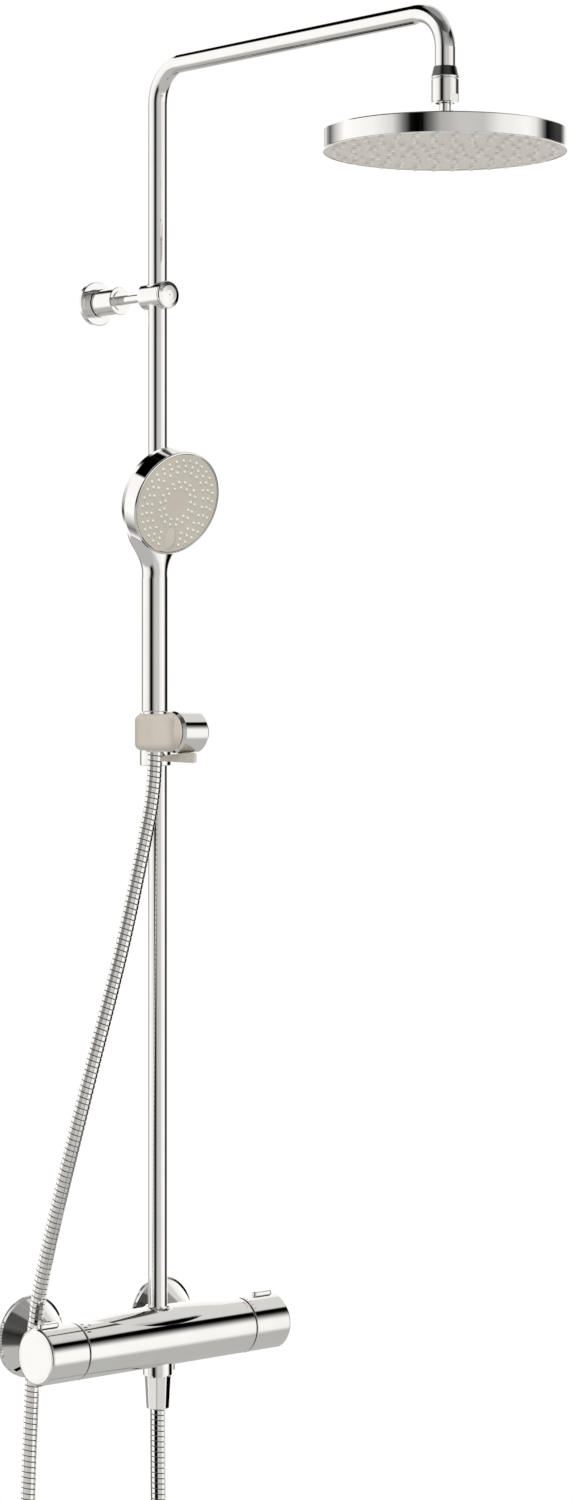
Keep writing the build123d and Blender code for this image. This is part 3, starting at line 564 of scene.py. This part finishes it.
def make_light():
    """White surroundings and one large soft lamp high at the front left."""
    world = bpy.data.worlds.new("studio")
    world.use_nodes = True
    background = world.node_tree.nodes["Background"]
    background.inputs["Color"].default_value = (1, 1, 1, 1)
    background.inputs["Strength"].default_value = 0.80
    bpy.context.scene.world = world
    data = bpy.data.lights.new("soft_lamp", "AREA")
    data.shape = "DISK"
    data.size = 1.6
    data.energy = 36.0
    lamp = bpy.data.objects.new("soft_lamp", data)
    lamp.location = (-1.4, -2.0, 2.4)
    lamp.rotation_euler = (Vector((0, -0.2, 0.6)) - lamp.location).to_track_quat("-Z", "Y").to_euler()
    lamp.visible_glossy = False
    bpy.context.scene.collection.objects.link(lamp)
    bpy.context.scene.view_settings.view_transform = "Standard"


# ---- overhead shower ----------------------------------------------------------------------------
NOZZLE_RINGS = 6
NOZZLE_PITCH = 14.8 * MM
# A soft nozzle from its foot above the plate to its tip and into its jet hole: (radius, drop) in mm.
NOZZLE_PROFILE = [(1.90, 0.2), (1.88, -0.1), (1.78, -0.5), (1.66, -1.2), (1.58, -1.9), (1.50, -2.28),
                  (1.36, -2.46), (1.10, -2.5), (0.72, -2.48), (0.56, -2.36), (0.52, -1.2), (0.0, -1.1)]


def make_head_nozzles(finishes):
    """Six rings of soft nozzles."""
    under = HEAD_UNDER + 0.5 * MM
    axis = Vector((HEAD_AXIS.x, HEAD_AXIS.y, 0))
    parts = []
    for ring in range(1, NOZZLE_RINGS + 1):
        for i in range(6 * ring):
            turn = 2 * math.pi * i / (6 * ring) + 0.09 * ring
            spot = axis + ring * NOZZLE_PITCH * Vector((math.cos(turn), math.sin(turn), 0))
            spot.z = under
            profile = [(r * MM, z * MM) for r, z in NOZZLE_PROFILE]
            parts.append(lathe(profile, 20, lambda p, spot=spot: spot + p))
    points, faces = joined(parts)
    piece = add_piece("head_jets", points, faces, finishes["silicone"], "head")
    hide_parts("head_nozzles")


# ---- hand shower --------------------------------------------------------------------------------
SPRAY_RINGS = ((38.1, 32), (33.2, 27), (28.1, 23), (19.1, 18), (14.4, 13))
JET_PROFILE = [(1.15, -0.2), (1.12, 0.2), (1.04, 0.6), (0.96, 0.9), (0.82, 1.06), (0.62, 1.1),
               (0.40, 1.06), (0.32, 0.9), (0.30, 0.3), (0.0, 0.25)]
TAB_GAP = 15.0 * 28.0                     # degrees times millimetres kept clear for the tab


def on_face(point):
    """A point of the face's own frame (X right, Y up the face, Z out of it) in the row frame."""
    right = Vector((1, 0, 0))
    up = FACE_NORMAL.cross(right)
    return FACE_CENTRE + point.x * right + point.y * up + point.z * FACE_NORMAL


def make_spray_nozzles(finishes):
    parts = []
    for radius, count in SPRAY_RINGS:
        for i in range(count):
            turn = 360.0 * (i + 0.5) / count
            off_tab = abs((turn + 180.0) % 360.0 - 180.0) * radius
            if radius > 20.0 and off_tab <= TAB_GAP:
                continue
            angle = math.radians(turn - 90.0)
            spot = Vector((radius * math.cos(angle), radius * math.sin(angle), 0.1)) * MM
            profile = [(r * MM, z * MM) for r, z in JET_PROFILE]
            parts.append(lathe(profile, 16, lambda p, spot=spot: on_face(spot + p)))
    points, faces = joined(parts)
    piece = add_piece("spray_jets", points, faces, finishes["silicone"], "spray_face")
    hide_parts("spray_nozzles")


TAB_LOW, TAB_HIGH, TAB_HALF, TAB_RISE = -41.2, -20.8, 6.3, 2.5


def tab_height(across, along):
    """A deep scoop on the left that climbs to a rounded ridge near the right edge."""
    ridge = 0.42
    if across < ridge:
        shape = 0.02 + 0.98 * ((across + 1) / (1 + ridge)) ** 1.5
    else:
        shape = math.cos((across - ridge) / (1 - ridge) * math.pi / 2) ** 0.6
    return TAB_RISE * shape * math.sin(math.pi * along) ** 0.5


def make_selector_tab(finishes):
    """Petal-shaped thumb tab, scooped on one side."""
    columns, rows = 28, 36
    points, faces = [], []
    for j in range(rows + 1):
        along = 0.004 + 0.992 * j / rows
        half = TAB_HALF * math.sin(math.pi * along ** 0.92) ** 0.72
        bend = 0.9 * math.sin(math.pi * along)
        for i in range(columns + 1):
            across = 2 * i / columns - 1
            x = half * across + bend - 0.6
            y = TAB_LOW + (TAB_HIGH - TAB_LOW) * along
            points.append(on_face(Vector((x, y, 0.14 + tab_height(across, along))) * MM))
    width = columns + 1
    for j in range(rows):
        for i in range(columns):
            a = j * width + i
            faces.append((a, a + 1, a + 1 + width, a + width))
    piece = add_piece("thumb_tab", points, faces, finishes["greige"], "spray_face")
    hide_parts("selector_tab")


# ---- marks and flare of the mixer bar -----------------------------------------------------------
MARK_LIFT = 0.05 * MM


def surface_of(*nodes):
    """Tree of the row-frame triangles of these CAD nodes, to lay things on them."""
    points, faces = [], []
    for name in nodes:
        mesh = frame["nodes"][name].data
        start = len(points)
        points += [v.co.copy() for v in mesh.vertices]
        faces += [tuple(i + start for i in p.vertices) for p in mesh.polygons]
    return BVHTree.FromPolygons(points, faces)


def on_bar(tree, x, turn):
    """The point of the bar's surface at x, at an angle in degrees from the front towards the top."""
    out = Vector((0, -math.cos(math.radians(turn)), math.sin(math.radians(turn))))
    start = Vector((x, BAR.y, BAR.z)) + out * 0.06
    hit = tree.ray_cast(start, -out)[0]
    return hit + out * MARK_LIFT


def mark_patch(tree, outline):
    """A thin printed patch on the bar; outline gives (x in mm, turn in degrees) of its corners."""
    points = [on_bar(tree, x * MM, turn) for x, turn in outline]
    return points, [tuple(range(len(points)))]


def dash(x0, x1, turn, thick=1.6):
    steps = 4
    low = [(x0 + (x1 - x0) * i / steps, turn - thick) for i in range(steps + 1)]
    high = [(x, turn + thick) for x, _ in reversed(low)]
    return low + high


def tick(x, turn, length, wide=0.45):
    """A short line round the bar rather than along it."""
    steps = 4
    down = [(x - wide, turn + length * (i / steps - 0.5)) for i in range(steps + 1)]
    up = [(x + wide, t) for _, t in reversed(down)]
    return down + up


def make_marks(finishes):
    """Generic flow steps by the left gap and a temperature line by the right one."""
    tree = surface_of("mixer_body")
    end = BAR_END / MM
    flow = [dash(-end + 2.0, -end + 5.6, 74), dash(-end + 2.2, -end + 6.0, 62),
            dash(-end + 2.4, -end + 6.4, 49)]
    pointer = [(-end + 9.0, 66), (-end + 11.8, 66), (-end + 10.4, 73)]
    points, faces = joined([mark_patch(tree, outline) for outline in flow + [pointer]])
    add_piece("flow_marks", points, faces, finishes["black_mark"], "column", smooth=False)
    points, faces = joined([mark_patch(tree, tick(end - 3.6, 57, 17))])
    add_piece("temperature_mark", points, faces, finishes["red_mark"], "column", smooth=False)
    tree = surface_of("temperature_handle")
    scale = [tick(end + 4.2, turn, 1.4, 1.0) for turn in (44, 54, 64, 74, 84)]
    points, faces = joined([mark_patch(tree, outline) for outline in scale])
    add_piece("temperature_scale", points, faces, finishes["red_mark"], "temperature_control", smooth=False)


FLARE_FOOT = 14.0 * MM
FLARE_NECK = 10.2 * MM


def make_neck_flare(finishes):
    """Smooth flare from the bar's top up to the riser's neck."""
    tree = surface_of("mixer_body")
    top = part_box("mixer_body")[1].z
    around, rows = 96, 14
    points, faces = [], []
    for j in range(rows + 1):
        share = j / rows
        radius = FLARE_NECK + (FLARE_FOOT - FLARE_NECK) * (1 - math.sin(share * math.pi / 2))
        for k in range(around):
            turn = 2 * math.pi * k / around
            x, y = radius * math.cos(turn), RISER.y + radius * math.sin(turn)
            probe = max(radius, 10.9 * MM)
            px, py = probe * math.cos(turn), RISER.y + probe * math.sin(turn)
            ground = tree.ray_cast(Vector((px, py, 0.08)), Vector((0, 0, -1)))[0].z
            lift = 1 - math.cos(share * math.pi / 2)
            points.append(Vector((x, y, ground + 0.02 * MM + (top - 0.2 * MM - ground) * lift)))
    for j in range(rows):
        for k in range(around):
            a, b = j * around + k, j * around + (k + 1) % around
            faces.append((a, b, b + around, a + around))
    piece = add_piece("neck_flare", points, faces, finishes["chrome"], "column")


def main():
    make_camera()
    finishes = make_finishes()
    make_hose(finishes)
    make_light()
    make_dome()
    make_floor()
    paint_frame(finishes)
    make_head_nozzles(finishes)
    make_spray_nozzles(finishes)
    make_selector_tab(finishes)
    make_marks(finishes)
    make_neck_flare(finishes)


main()
